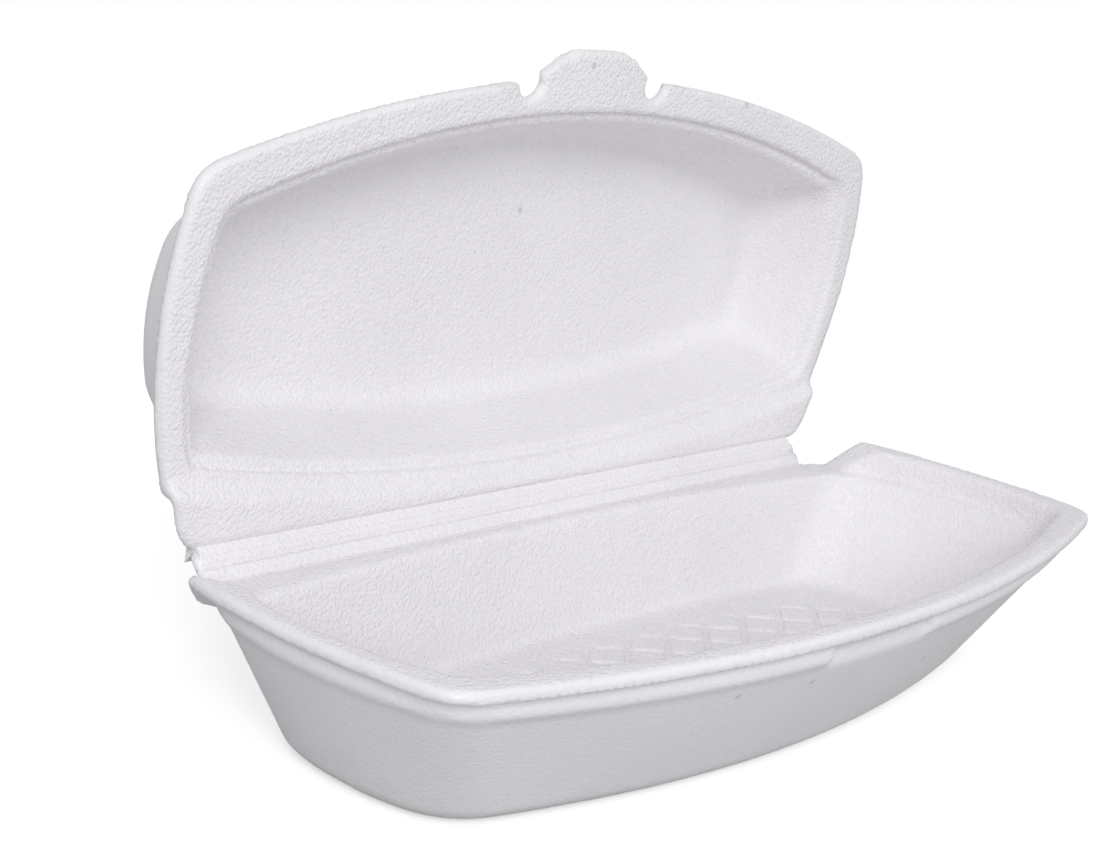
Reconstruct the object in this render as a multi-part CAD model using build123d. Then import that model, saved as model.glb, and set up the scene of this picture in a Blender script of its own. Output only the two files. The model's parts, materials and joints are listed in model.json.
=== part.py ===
from build123d import *
import os
from math import atan2, cos, pi, radians, sin, tan

# A hinged food box thermoformed from one sheet of white foam: a deep tray, a shallower lid and
# the scored strip of sheet between them. Sizes are in mm. X runs along the hinge, -Y is the
# open front and +Z is up. The origin is the middle of the flat foot that the tray stands on.

# Rim of the tray, and how far inside it the edge of the shut lid lies
rim_length = 184.0
rim_depth = 79.2
front_bow = 15.0
front_taper = 3.4
rim_corner_radius = 6.0
crease_inset = 11.8
lid_inset = 2.2

# Ears: the back corners of each rim, and the small step from each ear to the crease
tray_ear_inset = 2.2
tray_ear_depth = 7.8
tray_ear_radius = 4.0
tray_notch_step = 2.6
tray_notch_depth = 2.6
lid_ear_inset = 4.3
lid_ear_depth = 11.5
lid_ear_radius = 8.0
lid_notch_step = 2.6
lid_notch_depth = 3.4
notch_radius = 1.6

# Foam sheet: the formed walls, the flat of the rim and the pressed sheet at the hinge
tray_wall = 2.6
lid_wall = 2.2
rim_thickness = 2.3
hinge_thickness = 1.6

# Tray
tray_height = 30.4
tray_rim_width = 4.3
tray_collar_height = 5.6
tray_ledge = 1.6
crease_drop = 5.7
ear_ramp_length = 7.0
ear_ramp_turn = 25.0
foot_end_inset = 17.0
foot_end_bow = 4.0
foot_front_inset = 18.0
foot_front_bow = 12.0
foot_back = 10.5
foot_back_bow = 5.0
foot_corner_radius = 13.0
foot_edge_radius = 5.0

# Lid
lid_height = 21.0
lid_rim_width = 5.8
lid_collar_height = 1.6
lid_ledge = 1.8
ridge_rise = 2.2
ridge_slope = 1.6
ridge_back = 3.4
ridge_bow = 8.8
riser_thickness = 1.4
crown_end_inset = 13.0
crown_end_bow = 3.0
crown_front_inset = 16.5
crown_front_bow = 14.0
crown_back = 18.5
crown_back_bow = 8.0
crown_corner_radius = 8.0
crown_edge_radius = 5.5

# Mouth of the two hollows: on the hinge side it bows towards the crease
tray_mouth_end_bow = 5.0
tray_mouth_back = 2.8
tray_mouth_bow = 5.5
tray_mouth_back_radius = 12.0
lid_mouth_end_bow = 3.0
lid_mouth_back = 6.0
lid_mouth_bow = 8.0
lid_mouth_back_radius = 4.0
mouth_front_radius = 8.0

# Lock: a tab on the lid's rim between two round notches, and a recess under the tray's lip
lock_shift = -3.0
tab_height = 5.0
tab_top_width = 14.0
tab_bottom_width = 29.0
tab_corner_radius = 4.0
tab_notch_radius = 2.8
lock_width = 28.0
lock_height = 2.4
lock_recess = 1.0
lock_step = 1.6

# Anti-slip lattice pressed into the floor of the tray
groove_pitch = 7.6
groove_width = 1.2
groove_depth = 0.5
lattice_angle = 41.0
lattice_margin = 8.5

# Folds: each side of a crease is bevelled down to the outer face, where the sheet stays whole
fold_gap = 0.12
fold_bevel = 46.0
score_depth = 0.7
score_width = 1.4
shut_gap = 0.2
open_angle = 84.0

os.makedirs("parts", exist_ok=True)

# Worked out from the driving dimensions
half_length = rim_length / 2
crease_half = half_length - crease_inset
foot_front = rim_depth - foot_front_inset
origin_depth = (foot_back - foot_back_bow / 2 + foot_front) / 2
strip_width = crease_drop - ridge_rise + 2 * hinge_thickness + shut_gap
bevel_width = hinge_thickness * tan(radians(fold_bevel))
tray_pivot = Vector(0, origin_depth, tray_height - crease_drop - hinge_thickness)
lid_pivot = tray_pivot + Vector(0, 0, strip_width)
through = 2 * rim_depth
edge_steps = 2
least_radius = 0.8
radius_share = 0.4


class Outline:
    """A bowl seen from above, mirrored about x = 0. Its depths run from the crease to the front."""

    def __init__(self, half, end_bow, back, back_bow, front, front_bow, back_radius, front_radius):
        self.half = half
        self.end_bow = end_bow
        self.back = back
        self.back_bow = back_bow
        self.front = front
        self.front_bow = front_bow
        self.back_radius = back_radius
        self.front_radius = front_radius

    def face(self, level, inset=0.0):
        """The outline as a flat face, drawn in on every side by the inset."""
        corner_half = self.half - self.end_bow - inset
        back = -(self.back + self.back_bow + inset)
        front = -(self.front - self.front_bow - inset)
        largest = radius_share * (back - front)
        with BuildSketch(Plane.XY.offset(level)) as sketch:
            with BuildLine():
                ThreePointArc((-corner_half, back), (0, -(self.back + inset)), (corner_half, back))
                ThreePointArc((corner_half, back), (self.half - inset, (back + front) / 2), (corner_half, front))
                ThreePointArc((corner_half, front), (0, -(self.front - inset)), (-corner_half, front))
                ThreePointArc((-corner_half, front), (inset - self.half, (back + front) / 2), (-corner_half, back))
            make_face()
            for depth, radius in ((front, self.front_radius), (back, self.back_radius)):
                corners = [v for v in sketch.vertices() if abs(v.Y - depth) < 0.01 and abs(v.X) > corner_half - 0.01]
                fillet(corners, min(max(radius - inset, least_radius), largest))
        return sketch.sketch.face()

    def drawn_in(self, inset):
        """The same outline, smaller by the inset on every side."""
        return Outline(
            self.half - inset, self.end_bow, self.back + inset, self.back_bow,
            self.front - inset, self.front_bow, self.back_radius - inset, self.front_radius - inset,
        )


def mouth_outline(inset, end_bow, back, back_bow, back_radius):
    """The inner edge of the flat rim, which lies inside the tray's cut edge by the inset."""
    return Outline(
        half_length - inset, end_bow, back, back_bow, rim_depth - inset, front_bow, back_radius, mouth_front_radius
    )


def stack(*faces):
    """A solid through a row of faces, each on its own level."""
    solid = None
    for lower, upper in zip(faces, faces[1:]):
        piece = loft([lower, upper], ruled=True)
        solid = piece if solid is None else solid + piece
    return solid


def rim_plan(inset, ear, ear_radius, notch):
    """The cut edge of one half of the sheet: crease, notches, ears, bowed ends and bowed front."""
    half = half_length - inset
    front = rim_depth - inset
    corner = (half - front_taper, front_bow - front)
    waist = (half, (ear[1] + corner[1]) / 2)
    with BuildSketch() as sketch:
        with BuildLine():
            Polyline((0, 0), (crease_half, 0), notch, ear)
            ThreePointArc(ear, waist, corner)
            ThreePointArc(corner, (0, -front), (-corner[0], corner[1]))
            ThreePointArc((-corner[0], corner[1]), (-waist[0], waist[1]), (-ear[0], ear[1]))
            Polyline((-ear[0], ear[1]), (-notch[0], notch[1]), (-crease_half, 0), (0, 0))
        make_face()
        for place, radius in ((corner, rim_corner_radius), (ear, ear_radius), (notch, notch_radius)):
            found = [v for v in sketch.vertices() if abs(abs(v.X) - place[0]) < 0.01 and abs(v.Y - place[1]) < 0.01]
            fillet(found, radius)
    return sketch.sketch


def side_profile(*points):
    """A solid whose section in the YZ plane has these corners, given as depth and height."""
    with BuildSketch(Plane.YZ) as sketch:
        with BuildLine():
            Polyline(*[(-depth, height) for depth, height in points], close=True)
        make_face()
    return extrude(sketch.sketch, amount=rim_length, both=True)


def fold_edge(outer_face):
    """The wedge taken off at the crease, from the outer face up to the inner face of the sheet."""
    inner_face = outer_face + 2 * hinge_thickness
    return side_profile(
        (-rim_depth, outer_face - rim_thickness), (fold_gap, outer_face - rim_thickness),
        (fold_gap, outer_face), (fold_gap + 2 * bevel_width, inner_face), (-rim_depth, inner_face),
    )


def rounded_base(base, level, radius, lean):
    """Sections of a rounded bottom edge, from the flat base up to a wall that leans outwards."""
    turn = pi / 2 - lean
    tangent = radius * tan(turn / 2)
    angles = [turn * step / edge_steps for step in range(edge_steps + 1)]
    return [base.face(level + radius * (1 - cos(a)), tangent - radius * sin(a)) for a in angles]


def bowl_walls(mouth, base, height, collar_height, ledge, edge_radius, wall):
    """The outer form of a bowl and its hollow, with the step that runs round below the rim."""
    step_level = -collar_height
    wall_level = -collar_height - ledge
    lean = atan2(mouth.half - ledge + wall - base.half, height - collar_height - ledge)
    outer = stack(
        *rounded_base(base, -height, edge_radius, lean),
        mouth.face(wall_level, ledge - wall),
        mouth.face(step_level, -wall),
        mouth.face(0, -wall),
    )
    floor = base.drawn_in(wall * (1 - sin(lean)) / cos(lean))
    lower = stack(
        *rounded_base(floor, wall - height, edge_radius - wall, lean),
        mouth.face(step_level, ledge),
    )
    upper = extrude(mouth.face(step_level), amount=height)
    return outer, lower + upper


def below_tray_rim(mouth, ear, depth_below, crease_below):
    """All that lies under the tray's rim, or under its lower face. Inside each ear the rim ramps down to the crease."""
    turn = radians(ear_ramp_turn)
    ramp_end = ear[0] * cos(turn) - ear[1] * sin(turn)
    ramp_start = ramp_end - ear_ramp_length
    flat_from = (ramp_end - (mouth.half - mouth.end_bow) * cos(turn)) / sin(turn)
    low = -crease_drop - crease_below
    front = side_profile((flat_from, -depth_below), (through, -depth_below), (through, -through), (flat_from, -through))
    with BuildSketch(Plane.XZ) as sketch:
        with BuildLine():
            Polyline(
                (-through, low), (ramp_start, low), (ramp_end, -depth_below), (through, -depth_below),
                (through, -through), (-through, -through), close=True,
            )
        make_face()
    ramp = extrude(sketch.sketch, amount=through, both=True)
    half = Pos(through / 2, -flat_from / 2, 0) * Box(through, flat_from, 3 * through)
    right = (Rot(0, 0, -ear_ramp_turn) * ramp) & half
    return front + right + mirror(right, Plane.YZ)


def lattice(floor_level, base):
    """Two crossing rows of shallow grooves over the flat of the floor."""
    field = extrude(base.face(floor_level, lattice_margin), amount=groove_depth, both=True)
    reach = rim_length
    count = int(reach / 2 / groove_pitch)
    centre = Pos(0, -(base.back + base.front) / 2, floor_level)
    grooves = []
    for turn in (lattice_angle, -lattice_angle):
        for index in range(-count, count + 1):
            bar = Box(reach, groove_width, 2 * groove_depth)
            grooves.append((centre * Rot(0, 0, turn) * Pos(0, index * groove_pitch, 0) * bar) & field)
    return [groove for groove in grooves if groove and groove.volume > 0]


def lock_cuts(mouth):
    """The catch in the front of the collar: a recess right under the lip, and a higher step below it."""
    cuts = []
    for low, high, inset in (
        (-rim_thickness - lock_height, -rim_thickness, lock_recess - tray_wall),
        (-tray_collar_height - tray_ledge, lock_step - tray_collar_height, tray_ledge - tray_wall),
    ):
        kept = extrude(mouth.face(low, inset), amount=high - low)
        place = Pos(lock_shift, -rim_depth, (low + high) / 2)
        cuts.append(place * Box(lock_width, 2 * front_bow, high - low) - kept)
    return cuts


def make_tray():
    """The deep half, open side up, with its rim plane at z = 0 and its crease at y = 0."""
    mouth = mouth_outline(
        tray_rim_width, tray_mouth_end_bow, tray_mouth_back, tray_mouth_bow, tray_mouth_back_radius
    )
    foot = Outline(
        half_length - foot_end_inset, foot_end_bow, foot_back - foot_back_bow, foot_back_bow,
        foot_front, foot_front_bow, foot_corner_radius, foot_corner_radius,
    )
    ear = (half_length - tray_ear_inset, -tray_ear_depth)
    notch = (crease_half + tray_notch_step, -tray_notch_depth)
    outer, hollow = bowl_walls(
        mouth, foot, tray_height, tray_collar_height, tray_ledge, foot_edge_radius, tray_wall
    )
    below = below_tray_rim(mouth, ear, 0, 0)
    plan = extrude(rim_plan(0, ear, tray_ear_radius, notch), amount=tray_height, both=True)
    rim = plan & (below - below_tray_rim(mouth, ear, rim_thickness, hinge_thickness))
    tray = rim + (outer & below) - hollow
    for cut in lock_cuts(mouth):
        tray -= cut
    tray -= fold_edge(-crease_drop - hinge_thickness)
    for groove in lattice(tray_wall - tray_height, foot):
        tray -= groove
    return tray


def ridge_face(back, level):
    """The hinge side of the lid's rim, up to a line that bows towards the crease."""
    end = -(back + ridge_bow)
    with BuildSketch(Plane.XY.offset(level)) as sketch:
        with BuildLine():
            ThreePointArc((-half_length, end), (0, -back), (half_length, end))
            Polyline((half_length, end), (half_length, rim_depth), (-half_length, rim_depth), (-half_length, end))
        make_face()
    return sketch.sketch.face()


def lid_lock(rim):
    """The rim with its tab, and with a round notch on each side of the tab."""
    front = rim_depth - lid_inset
    tab_root = front - lid_rim_width / 2
    with BuildSketch(Plane.XY.offset(-rim_thickness)) as sketch:
        with BuildLine():
            Polyline(
                (tab_top_width / 2, -front - tab_height), (tab_bottom_width / 2, -front),
                (tab_bottom_width / 2, -tab_root), (-tab_bottom_width / 2, -tab_root),
                (-tab_bottom_width / 2, -front), (-tab_top_width / 2, -front - tab_height), close=True,
            )
        make_face()
        fillet(sketch.vertices().sort_by(Axis.Y)[:2], tab_corner_radius)
    middle = Pos(-lock_shift, 0, 0)
    rim += middle * extrude(sketch.sketch, amount=rim_thickness)
    for side in (-1, 1):
        place = Pos(side * (tab_bottom_width / 2 + tab_notch_radius * 0.7), -front + tab_notch_radius * 0.2, 0)
        rim -= middle * place * Cylinder(tab_notch_radius, 4 * rim_thickness)
    return rim


def make_lid():
    """The shallow half, open side up, with its rim plane at z = 0 and its crease at y = 0."""
    mouth = mouth_outline(
        lid_inset + lid_rim_width, lid_mouth_end_bow, lid_mouth_back, lid_mouth_bow, lid_mouth_back_radius
    )
    crown = Outline(
        half_length - crown_end_inset, crown_end_bow, crown_back - crown_back_bow, crown_back_bow,
        rim_depth - crown_front_inset, crown_front_bow, crown_corner_radius, crown_corner_radius,
    )
    ear = (half_length - lid_inset - lid_ear_inset, -lid_ear_depth)
    notch = (crease_half + lid_notch_step, -lid_notch_depth)
    outer, hollow = bowl_walls(mouth, crown, lid_height, lid_collar_height, lid_ledge, crown_edge_radius, lid_wall)
    plan = rim_plan(lid_inset, ear, lid_ear_radius, notch)
    web_level = ridge_rise - hinge_thickness
    ridge = loft([ridge_face(ridge_back + ridge_slope, 0), ridge_face(ridge_back, ridge_rise)], ruled=True)
    ridge += extrude(ridge_face(ridge_back + ridge_slope, -rim_thickness), amount=rim_thickness)
    ridge -= extrude(ridge_face(ridge_back - riser_thickness, -rim_thickness), amount=rim_thickness + web_level)
    rim = extrude(plan, amount=-rim_thickness) - extrude(ridge_face(ridge_back, -rim_thickness), amount=rim_thickness)
    lid = lid_lock(rim) + (ridge & extrude(plan, amount=2 * rim_thickness, both=True)) + outer - hollow
    return lid - fold_edge(web_level)


def make_strip():
    """The strip between the creases as it stands when the box is shut, scored along its middle."""
    with BuildSketch(Plane.YZ) as sketch:
        with BuildLine():
            Polyline(
                (0, fold_gap), (-hinge_thickness, fold_gap + bevel_width),
                (-hinge_thickness, (strip_width - score_width) / 2),
                (score_depth - hinge_thickness, strip_width / 2),
                (-hinge_thickness, (strip_width + score_width) / 2),
                (-hinge_thickness, strip_width - fold_gap - bevel_width), (0, strip_width - fold_gap), close=True,
            )
        make_face()
    return Location(tray_pivot) * extrude(sketch.sketch, amount=crease_half, both=True)


def opened(shape, pivot, angle):
    """The shape swung back about a crease."""
    return Pos(*pivot) * Rot(-angle, 0, 0) * Pos(*-pivot) * shape


tray = Pos(0, origin_depth, tray_height) * make_tray()
lid_shut = Pos(0, origin_depth, tray_height + shut_gap) * Rot(0, 180, 0) * make_lid()
strip_shut = make_strip()
strip = opened(strip_shut, tray_pivot, open_angle / 2)
lid = opened(opened(lid_shut, lid_pivot, open_angle / 2), tray_pivot, open_angle / 2)

for name, solid in (("tray", tray), ("hinge_strip", strip), ("lid", lid)):
    export_step(solid, "parts/" + name + ".step")
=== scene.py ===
import bpy
import bmesh
import json
from math import cos, radians, sin
from mathutils import Matrix, Vector


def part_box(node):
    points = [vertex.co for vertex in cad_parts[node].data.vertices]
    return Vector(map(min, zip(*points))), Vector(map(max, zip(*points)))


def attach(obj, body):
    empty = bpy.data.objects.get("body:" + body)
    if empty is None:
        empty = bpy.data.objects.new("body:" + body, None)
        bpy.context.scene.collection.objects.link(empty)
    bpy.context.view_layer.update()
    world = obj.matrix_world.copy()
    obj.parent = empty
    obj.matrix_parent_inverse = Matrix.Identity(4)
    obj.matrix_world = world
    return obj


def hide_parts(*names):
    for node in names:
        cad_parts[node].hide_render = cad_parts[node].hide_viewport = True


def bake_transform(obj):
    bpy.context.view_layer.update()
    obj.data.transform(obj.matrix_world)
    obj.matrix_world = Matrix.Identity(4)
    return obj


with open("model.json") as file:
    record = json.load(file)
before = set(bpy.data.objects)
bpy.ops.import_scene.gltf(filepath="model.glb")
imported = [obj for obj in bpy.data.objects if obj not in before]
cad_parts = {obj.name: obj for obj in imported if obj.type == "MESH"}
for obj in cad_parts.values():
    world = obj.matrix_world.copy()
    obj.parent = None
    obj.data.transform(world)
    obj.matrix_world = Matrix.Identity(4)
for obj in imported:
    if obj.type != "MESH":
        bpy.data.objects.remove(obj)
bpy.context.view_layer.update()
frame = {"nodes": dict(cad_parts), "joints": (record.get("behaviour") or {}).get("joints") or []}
scene = bpy.context.scene

# Tray
# The deep half of the box, thermoformed from one sheet of white polystyrene foam. Forming leaves
# no sharp edge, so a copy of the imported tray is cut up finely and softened, which rounds its edges.
tray_spacing = 0.0015
foam_softening = 3
softening_pull = 0.5
merge_distance = 2e-6
flat_angle = radians(2.0)
cutting_rounds = 8
finest_rounds = 2
inner_middle = 0.5
inner_sharpness = 3.0
tray_hollow = Vector((0, 0, 0.06))
foam_white = (0.91, 0.898, 0.912, 1)
foam_shade = (0.87, 0.858, 0.88, 1)
foam_roughness = 0.5
foam_shine = 0.25
foam_ior = 1.5
grain_size = 0.00065
grain_height = 0.0002
wave_ratio = 0.45
wave_share = 0.6
glint_ratio = 1.1
glint_low = 0.52
glint_high = 0.7
outer_share = 0.3
bend_low = 0.5
bend_high = 0.56
cloud_size = 0.03
cloud_low = 0.3
cloud_high = 0.7
speck_size = 0.006
speck_core = 0.06
speck_edge = 0.16
speck_grey = (0.45, 0.44, 0.46, 1)
speck_share = 0.035
speck_depth = 0.5


def fine_skin(name, spacing, softening, hollow):
    """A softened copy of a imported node, cut up finely. It marks how far each point faces the hollow."""
    skin = bmesh.new()
    skin.from_mesh(frame["nodes"][name].data)
    bmesh.ops.remove_doubles(skin, verts=skin.verts, dist=merge_distance)
    for step in range(cutting_rounds):
        limit = spacing * 2 ** max(cutting_rounds - finest_rounds - step, 0)
        long_edges = [edge for edge in skin.edges if edge.calc_length() > limit]
        bmesh.ops.subdivide_edges(skin, edges=long_edges, cuts=1)
        bmesh.ops.triangulate(skin, faces=[face for face in skin.faces if len(face.verts) > 3])
        level = [edge for edge in skin.edges if edge.is_manifold and edge.calc_face_angle(0) < flat_angle]
        bmesh.ops.beautify_fill(skin, faces=skin.faces[:], edges=level)
    for _ in range(softening):
        bmesh.ops.smooth_vert(
            skin, verts=skin.verts, factor=softening_pull, use_axis_x=True, use_axis_y=True, use_axis_z=True
        )
    skin.normal_update()
    inner = skin.verts.layers.float.new("inner_side")
    for vertex in skin.verts:
        facing = vertex.normal.dot((hollow - vertex.co).normalized())
        vertex[inner] = min(max(inner_middle + inner_sharpness * facing, 0), 1)
    for face in skin.faces:
        face.smooth = True
    mesh = bpy.data.meshes.new(name + "_skin")
    skin.to_mesh(mesh)
    skin.free()
    piece = bpy.data.objects.new(name + "_skin", mesh)
    scene.collection.objects.link(piece)
    return piece


def new_group(name, inputs, outputs):
    """A shader node group with a vector, named number inputs and named outputs."""
    group = bpy.data.node_groups.new(name, "ShaderNodeTree")
    group.interface.new_socket("Vector", in_out="INPUT", socket_type="NodeSocketVector")
    for label, value in inputs:
        socket = group.interface.new_socket(label, in_out="INPUT", socket_type="NodeSocketFloat")
        socket.default_value = value
    for label, kind in outputs:
        group.interface.new_socket(label, in_out="OUTPUT", socket_type=kind)
    return group, group.nodes.new("NodeGroupInput"), group.nodes.new("NodeGroupOutput")


def math_node(tree, operation, first, second, clamp=False):
    """A math node whose two inputs are sockets or plain numbers."""
    node = tree.nodes.new("ShaderNodeMath")
    node.operation = operation
    node.use_clamp = clamp
    for index, value in enumerate((first, second)):
        if isinstance(value, (int, float)):
            node.inputs[index].default_value = value
        else:
            tree.links.new(value, node.inputs[index])
    return node.outputs[0]


def texture(tree, kind, vector, scale, **settings):
    """A texture node in metres, fed with a vector and a scale."""
    node = tree.nodes.new(kind)
    for key, value in settings.items():
        if key in node.inputs:
            node.inputs[key].default_value = value
        else:
            setattr(node, key, value)
    tree.links.new(scale, node.inputs["Scale"])
    tree.links.new(vector, node.inputs["Vector"])
    return node


def range_node(tree, value, low, high, to_low=0.0, to_high=1.0, smooth=False):
    """A map range node."""
    node = tree.nodes.new("ShaderNodeMapRange")
    if smooth:
        node.interpolation_type = "SMOOTHSTEP"
    tree.links.new(value, node.inputs["Value"])
    for key, number in (("From Min", low), ("From Max", high), ("To Min", to_low), ("To Max", to_high)):
        node.inputs[key].default_value = number
    return node.outputs["Result"]


def grain_group():
    """The beads of the foam: a height for the bump, and a mask of the glossier crushed beads."""
    group, given, made = new_group(
        "foam_grain", (("Bead Size", grain_size),),
        (("Height", "NodeSocketFloat"), ("Glint", "NodeSocketFloat")),
    )
    vector = given.outputs["Vector"]
    per_metre = math_node(group, "DIVIDE", 1.0, given.outputs["Bead Size"])
    beads = texture(group, "ShaderNodeTexVoronoi", vector, per_metre, feature="F1")
    dome = math_node(group, "SUBTRACT", 1.0, beads.outputs["Distance"])
    wave_scale = math_node(group, "MULTIPLY", per_metre, wave_ratio)
    coarse = texture(group, "ShaderNodeTexNoise", vector, wave_scale, Detail=3.0)
    waves = math_node(group, "MULTIPLY", coarse.outputs["Fac"], wave_share)
    group.links.new(math_node(group, "ADD", dome, waves), made.inputs["Height"])
    glint_scale = math_node(group, "MULTIPLY", per_metre, glint_ratio)
    shine = texture(group, "ShaderNodeTexNoise", vector, glint_scale, Detail=1.0)
    group.links.new(range_node(group, shine.outputs["Fac"], glint_low, glint_high), made.inputs["Glint"])
    return group


def cloud_group():
    """Slow tone changes of the sheet, and a few small grey specks in it."""
    group, given, made = new_group(
        "foam_clouds", (("Cloud Size", cloud_size), ("Speck Size", speck_size)),
        (("Cloud", "NodeSocketFloat"), ("Speck", "NodeSocketFloat")),
    )
    vector = given.outputs["Vector"]
    cloud_scale = math_node(group, "DIVIDE", 1.0, given.outputs["Cloud Size"])
    clouds = texture(group, "ShaderNodeTexNoise", vector, cloud_scale, Detail=3.0)
    group.links.new(range_node(group, clouds.outputs["Fac"], cloud_low, cloud_high), made.inputs["Cloud"])
    cell_scale = math_node(group, "DIVIDE", 1.0, given.outputs["Speck Size"])
    cells = texture(group, "ShaderNodeTexVoronoi", vector, cell_scale)
    chosen = math_node(group, "LESS_THAN", cells.outputs["Color"], speck_share)
    spot = range_node(group, cells.outputs["Distance"], speck_core, speck_edge, 1.0, 0.0, smooth=True)
    group.links.new(math_node(group, "MULTIPLY", chosen, spot), made.inputs["Speck"])
    return group


foam_grain = grain_group()
foam_clouds = cloud_group()


def colour_mix(tree, factor, first, second):
    """A colour mix node. Either colour may be a socket."""
    node = tree.nodes.new("ShaderNodeMix")
    node.data_type = "RGBA"
    tree.links.new(factor, node.inputs[0])
    for index, value in ((6, first), (7, second)):
        if isinstance(value, tuple):
            node.inputs[index].default_value = value
        else:
            tree.links.new(value, node.inputs[index])
    return node.outputs[2]


def foam_material(name, bead_size, bump_height, roughness, edge_shine):
    """White foam skin: beads in the bump, faint clouds and specks, glossier crushed beads at the edges."""
    material = bpy.data.materials.new(name)
    material.use_nodes = True
    tree = material.node_tree
    shader = tree.nodes["Principled BSDF"]
    place = tree.nodes.new("ShaderNodeTexCoord").outputs["Object"]
    grain = tree.nodes.new("ShaderNodeGroup")
    grain.node_tree = foam_grain
    grain.inputs["Bead Size"].default_value = bead_size
    tree.links.new(place, grain.inputs["Vector"])
    clouds = tree.nodes.new("ShaderNodeGroup")
    clouds.node_tree = foam_clouds
    tree.links.new(place, clouds.inputs["Vector"])
    base = colour_mix(tree, clouds.outputs["Cloud"], foam_shade, foam_white)
    speck_shade = math_node(tree, "MULTIPLY", clouds.outputs["Speck"], speck_depth)
    spotted = colour_mix(tree, speck_shade, base, speck_grey)
    tree.links.new(spotted, shader.inputs["Base Color"])
    bend = tree.nodes.new("ShaderNodeNewGeometry").outputs["Pointiness"]
    ridge = range_node(tree, bend, bend_low, bend_high)
    side = tree.nodes.new("ShaderNodeAttribute")
    side.attribute_name = "inner_side"
    inner_part = math_node(tree, "MULTIPLY", side.outputs["Fac"], 1 - outer_share)
    crushed = math_node(tree, "ADD", outer_share, inner_part)
    glint = math_node(tree, "MULTIPLY", grain.outputs["Glint"], math_node(tree, "ADD", crushed, ridge))
    gloss = math_node(tree, "SUBTRACT", roughness, math_node(tree, "MULTIPLY", glint, edge_shine), clamp=True)
    tree.links.new(gloss, shader.inputs["Roughness"])
    shader.inputs["IOR"].default_value = foam_ior
    bump = tree.nodes.new("ShaderNodeBump")
    bump.inputs["Strength"].default_value = 1.0
    bump.inputs["Distance"].default_value = 1.0
    relief = math_node(tree, "MULTIPLY", grain.outputs["Height"], bump_height)
    tree.links.new(math_node(tree, "MULTIPLY", relief, crushed), bump.inputs["Height"])
    tree.links.new(bump.outputs["Normal"], shader.inputs["Normal"])
    return material


foam = foam_material("foam", grain_size, grain_height, foam_roughness, foam_shine)
tray_skin = fine_skin("tray", tray_spacing, foam_softening, tray_hollow)
tray_skin.data.materials.append(foam)
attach(tray_skin, "tray")
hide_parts("tray")

# Lid
# The shallower half of the same foam sheet, with the locking tab on its front rim. It is softened
# like the tray and carries the same bead pattern.
lid_spacing = 0.0015
lid_hollow = Vector((0, 0.01, 0.07))

lid_skin = fine_skin("lid", lid_spacing, foam_softening, lid_hollow)
lid_skin.data.materials.append(foam)
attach(lid_skin, "lid")
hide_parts("lid")

# Hinge strip
# The narrow strip of sheet between the two creases, pressed thinner and scored along its middle,
# which leaves its skin flatter and a little glossier than the rest.
strip_spacing = 0.0016
strip_softening = 2
pressed_share = 0.85
pressed_roughness = 0.42
pressed_shine = 0.2

pressed_foam = foam_material(
    "pressed_foam", grain_size, grain_height * pressed_share, pressed_roughness, pressed_shine
)
strip_skin = fine_skin("hinge_strip", strip_spacing, strip_softening, lid_hollow)
strip_skin.data.materials.append(pressed_foam)
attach(strip_skin, "hinge_strip")
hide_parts("hinge_strip")

# Crease bands
# At each crease the real sheet runs on, crushed thin by the scoring knife. A narrow band of
# pressed foam bridges the bevels on both sides.
sheet_thickness = 0.0016
band_reach = 0.0024
band_sink = 0.00012
score_dip = 0.00035
score_share = 0.25
outer_reach = 0.0005
band_columns = 120
band_end_gap = 0.0012
crease_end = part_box("hinge_strip")[1][0] - band_end_gap
joint_by_name = {joint["name"]: joint for joint in frame["joints"]}
tray_fold = Vector(joint_by_name["tray_crease"]["pos_m"])
lid_fold = Vector(joint_by_name["lid_crease"]["pos_m"])
strip_way = (lid_fold - tray_fold).normalized()
strip_inner = Vector((0, -strip_way.z, strip_way.y))
tray_way = Vector((0, -1, 0))
tray_inner = Vector((0, 0, 1))
lid_way = -(tray_way - 2 * strip_way * strip_way.dot(tray_way))
lid_inner = Vector((0, -lid_way.z, lid_way.y))


def meeting_point(fold, way, inner, other_way, other_inner):
    """Where the inner faces on both sides of a crease would meet."""
    start = fold + sheet_thickness * inner
    gap = (fold + sheet_thickness * other_inner - start).dot(other_inner)
    return start + way * gap / way.dot(other_inner)


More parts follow.
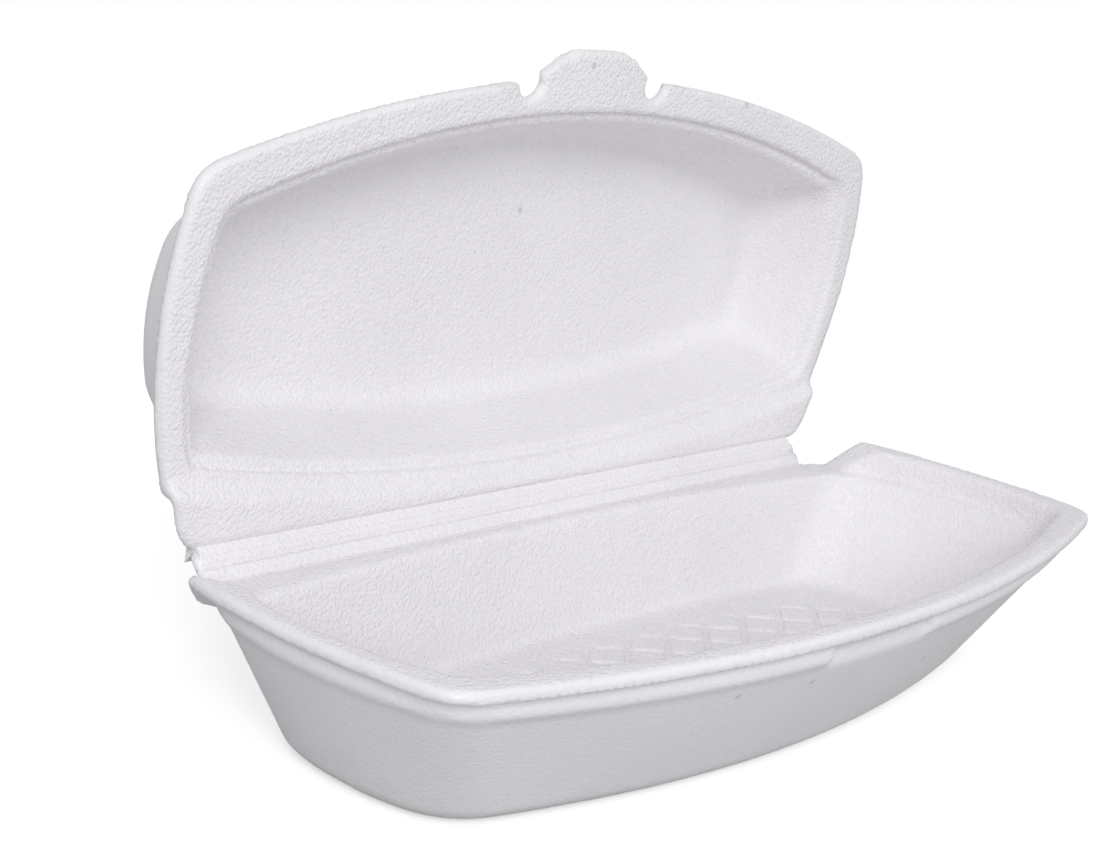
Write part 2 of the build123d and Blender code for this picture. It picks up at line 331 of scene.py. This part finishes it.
def crease_band(name, fold, way, inner, other_way, other_inner):
    """A prism along the crease from one inner face to the other, with a shallow score in its middle."""
    corner = meeting_point(fold, way, inner, other_way, other_inner)
    middle = (inner + other_inner).normalized()
    first = fold + band_reach * way + (sheet_thickness - band_sink) * inner
    second = fold + band_reach * other_way + (sheet_thickness - band_sink) * other_inner
    section = [
        first,
        corner + (first - corner) * score_share,
        corner - middle * score_dip,
        corner + (second - corner) * score_share,
        second,
        fold + outer_reach * other_way,
        fold + outer_reach * way,
    ]
    mesh = bmesh.new()
    ring = [mesh.verts.new(point + Vector((-crease_end, 0, 0))) for point in section]
    face = mesh.faces.new(ring)
    for column in range(band_columns):
        grown = bmesh.ops.extrude_face_region(mesh, geom=[face])["geom"]
        shifted = [item for item in grown if isinstance(item, bmesh.types.BMVert)]
        bmesh.ops.translate(mesh, verts=shifted, vec=(2 * crease_end / band_columns, 0, 0))
        old = face
        face = [item for item in grown if isinstance(item, bmesh.types.BMFace)][0]
        if old.is_valid and column > 0:
            mesh.faces.remove(old)
    bmesh.ops.recalc_face_normals(mesh, faces=mesh.faces[:])
    inner_side = mesh.verts.layers.float.new("inner_side")
    for vertex in mesh.verts:
        vertex[inner_side] = 1.0
    data = bpy.data.meshes.new(name)
    mesh.to_mesh(data)
    mesh.free()
    band = bpy.data.objects.new(name, data)
    scene.collection.objects.link(band)
    data.materials.append(pressed_foam)
    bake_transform(band)


crease_band("tray_band", tray_fold, tray_way, tray_inner, strip_way, strip_inner)
crease_band("lid_band", lid_fold, -strip_way, strip_inner, lid_way, lid_inner)

# Floor
# A plain white sheet that the box stands on. It keeps the soft shadow and fades to white further out.
floor_half = 3.0
fade_start = 0.12
fade_end = 0.3
bounce_grey = (0.5, 0.5, 0.5, 1)
paper_white = (0.95, 0.95, 0.95, 1)
pure_white = (1, 1, 1, 1)
paper_lift = 0.4
paper_roughness = 0.9
paper_gloss = 0.1

floor_mesh = bpy.data.meshes.new("floor")
flat = bmesh.new()
bmesh.ops.create_grid(flat, x_segments=1, y_segments=1, size=floor_half)
flat.to_mesh(floor_mesh)
flat.free()
floor = bpy.data.objects.new("floor", floor_mesh)
scene.collection.objects.link(floor)
floor_material = bpy.data.materials.new("floor")
floor_material.use_nodes = True
floor_tree = floor_material.node_tree
paper = floor_tree.nodes["Principled BSDF"]
paper.inputs["Roughness"].default_value = paper_roughness
paper.inputs["Specular IOR Level"].default_value = paper_gloss
white = floor_tree.nodes.new("ShaderNodeEmission")
white.inputs["Color"].default_value = pure_white
floor_place = floor_tree.nodes.new("ShaderNodeTexCoord").outputs["Object"]
distance = floor_tree.nodes.new("ShaderNodeVectorMath")
distance.operation = "LENGTH"
floor_tree.links.new(floor_place, distance.inputs[0])
fade = range_node(floor_tree, distance.outputs["Value"], fade_start, fade_end, smooth=True)
camera_ray = floor_tree.nodes.new("ShaderNodeLightPath").outputs["Is Camera Ray"]
seen = math_node(floor_tree, "MULTIPLY", fade, camera_ray)
lit = colour_mix(floor_tree, camera_ray, bounce_grey, paper_white)
floor_tree.links.new(lit, paper.inputs["Base Color"])
lift = math_node(floor_tree, "MULTIPLY", camera_ray, paper_lift)
paper.inputs["Emission Color"].default_value = pure_white
floor_tree.links.new(lift, paper.inputs["Emission Strength"])
floor_mix = floor_tree.nodes.new("ShaderNodeMixShader")
floor_tree.links.new(seen, floor_mix.inputs[0])
floor_tree.links.new(paper.outputs[0], floor_mix.inputs[1])
floor_tree.links.new(white.outputs[0], floor_mix.inputs[2])
floor_tree.links.new(floor_mix.outputs[0], floor_tree.nodes["Material Output"].inputs["Surface"])
floor_mesh.materials.append(floor_material)

# Light
# A bright room that the camera sees as plain white, a large soft lamp high on the left and in front,
# and a weaker one low on the right.
room_light = 0.60
room_colour = (0.985, 0.97, 1.0, 1)
lamp_aim = Vector((0, 0, 0.05))
key_place = Vector((-0.81, -0.89, 0.66))
key_size = 0.6
key_power = 8.2
fill_place = Vector((0.8, -1.1, 0.15))
fill_size = 0.5
fill_power = 1.8

world = bpy.data.worlds.new("studio")
scene.world = world
world.use_nodes = True
world_tree = world.node_tree
room = world_tree.nodes["Background"]
room.inputs["Color"].default_value = room_colour
room.inputs["Strength"].default_value = room_light
backdrop = world_tree.nodes.new("ShaderNodeBackground")
backdrop.inputs["Color"].default_value = pure_white
world_ray = world_tree.nodes.new("ShaderNodeLightPath")
world_mix = world_tree.nodes.new("ShaderNodeMixShader")
world_tree.links.new(world_ray.outputs["Is Camera Ray"], world_mix.inputs[0])
world_tree.links.new(room.outputs[0], world_mix.inputs[1])
world_tree.links.new(backdrop.outputs[0], world_mix.inputs[2])
world_tree.links.new(world_mix.outputs[0], world_tree.nodes["World Output"].inputs["Surface"])


def soft_lamp(name, place, size, power):
    """A square area lamp that looks at the box."""
    data = bpy.data.lights.new(name, "AREA")
    data.size = size
    data.energy = power
    light = bpy.data.objects.new(name, data)
    light.location = place
    light.rotation_mode = "QUATERNION"
    light.rotation_quaternion = (place - lamp_aim).to_track_quat("Z", "Y")
    scene.collection.objects.link(light)


soft_lamp("key", key_place, key_size, key_power)
soft_lamp("fill", fill_place, fill_size, fill_power)

# Camera
# It stands to the left of the box and in front, a little above it, and leans slightly.
camera_azimuth = -49.0
camera_elevation = 14.2
camera_roll = 6.6
camera_offset = Vector((-0.2717, -0.23526, 0.10808))
focal_length = 65.55
sensor_width = 36
nearest_seen = 0.01


def camera_turn(azimuth, elevation, roll):
    """The camera's matrix of axes, from where it looks and how it leans."""
    a = radians(azimuth)
    e = radians(elevation)
    r = radians(roll)
    back = Vector((sin(a) * cos(e), -cos(a) * cos(e), sin(e)))
    right = (-back).cross(Vector((0, 0, 1))).normalized()
    up = right.cross(-back)
    across = right * cos(r) + up * sin(r)
    upward = up * cos(r) - right * sin(r)
    return Matrix((across, upward, back)).transposed()


camera_data = bpy.data.cameras.new("camera")
camera_data.sensor_fit = "HORIZONTAL"
camera_data.sensor_width = sensor_width
camera_data.lens = focal_length
camera_data.clip_start = nearest_seen
camera = bpy.data.objects.new("camera", camera_data)
scene.collection.objects.link(camera)
camera.matrix_world = (
    Matrix.Translation(tray_fold + camera_offset)
    @ camera_turn(camera_azimuth, camera_elevation, camera_roll).to_4x4()
)
scene.camera = camera
scene.view_settings.view_transform = "Standard"

# Specks
# Small grey beads in the foam of tray and lid, each where the photo shows one. They are only spots of
# colour in the skin. A ray from the camera through the pixel finds the place of each.
speck_pixels = ((594, 66), (747, 105), (786, 189), (520, 210), (812, 682), (924, 658), (738, 697))
speck_radius = 0.0009
speck_core_share = 0.3
speck_strength = 0.45
photo_width = 1107
photo_height = 863
focal_pixels = focal_length / sensor_width * photo_width


def add_speck(material, spot_place):
    """Puts one grey spot into a material's base colour."""
    tree = material.node_tree
    shader = tree.nodes["Principled BSDF"]
    before = shader.inputs["Base Color"].links[0].from_socket
    away = tree.nodes.new("ShaderNodeVectorMath")
    away.operation = "DISTANCE"
    away.inputs[1].default_value = spot_place
    tree.links.new(tree.nodes["Texture Coordinate"].outputs["Object"], away.inputs[0])
    core = speck_core_share * speck_radius
    spot = range_node(tree, away.outputs["Value"], core, speck_radius, speck_strength, 0.0, smooth=True)
    tree.links.new(colour_mix(tree, spot, before, speck_grey), shader.inputs["Base Color"])


bpy.context.view_layer.update()
evaluated = bpy.context.evaluated_depsgraph_get()
for column, row in speck_pixels:
    sight_x = (column - photo_width / 2) / focal_pixels
    sight_y = (photo_height / 2 - row) / focal_pixels
    sight = (camera.matrix_world.to_3x3() @ Vector((sight_x, sight_y, -1))).normalized()
    struck, spot_place = scene.ray_cast(evaluated, camera.matrix_world.translation, sight)[:2]
    if struck:
        add_speck(foam, spot_place)
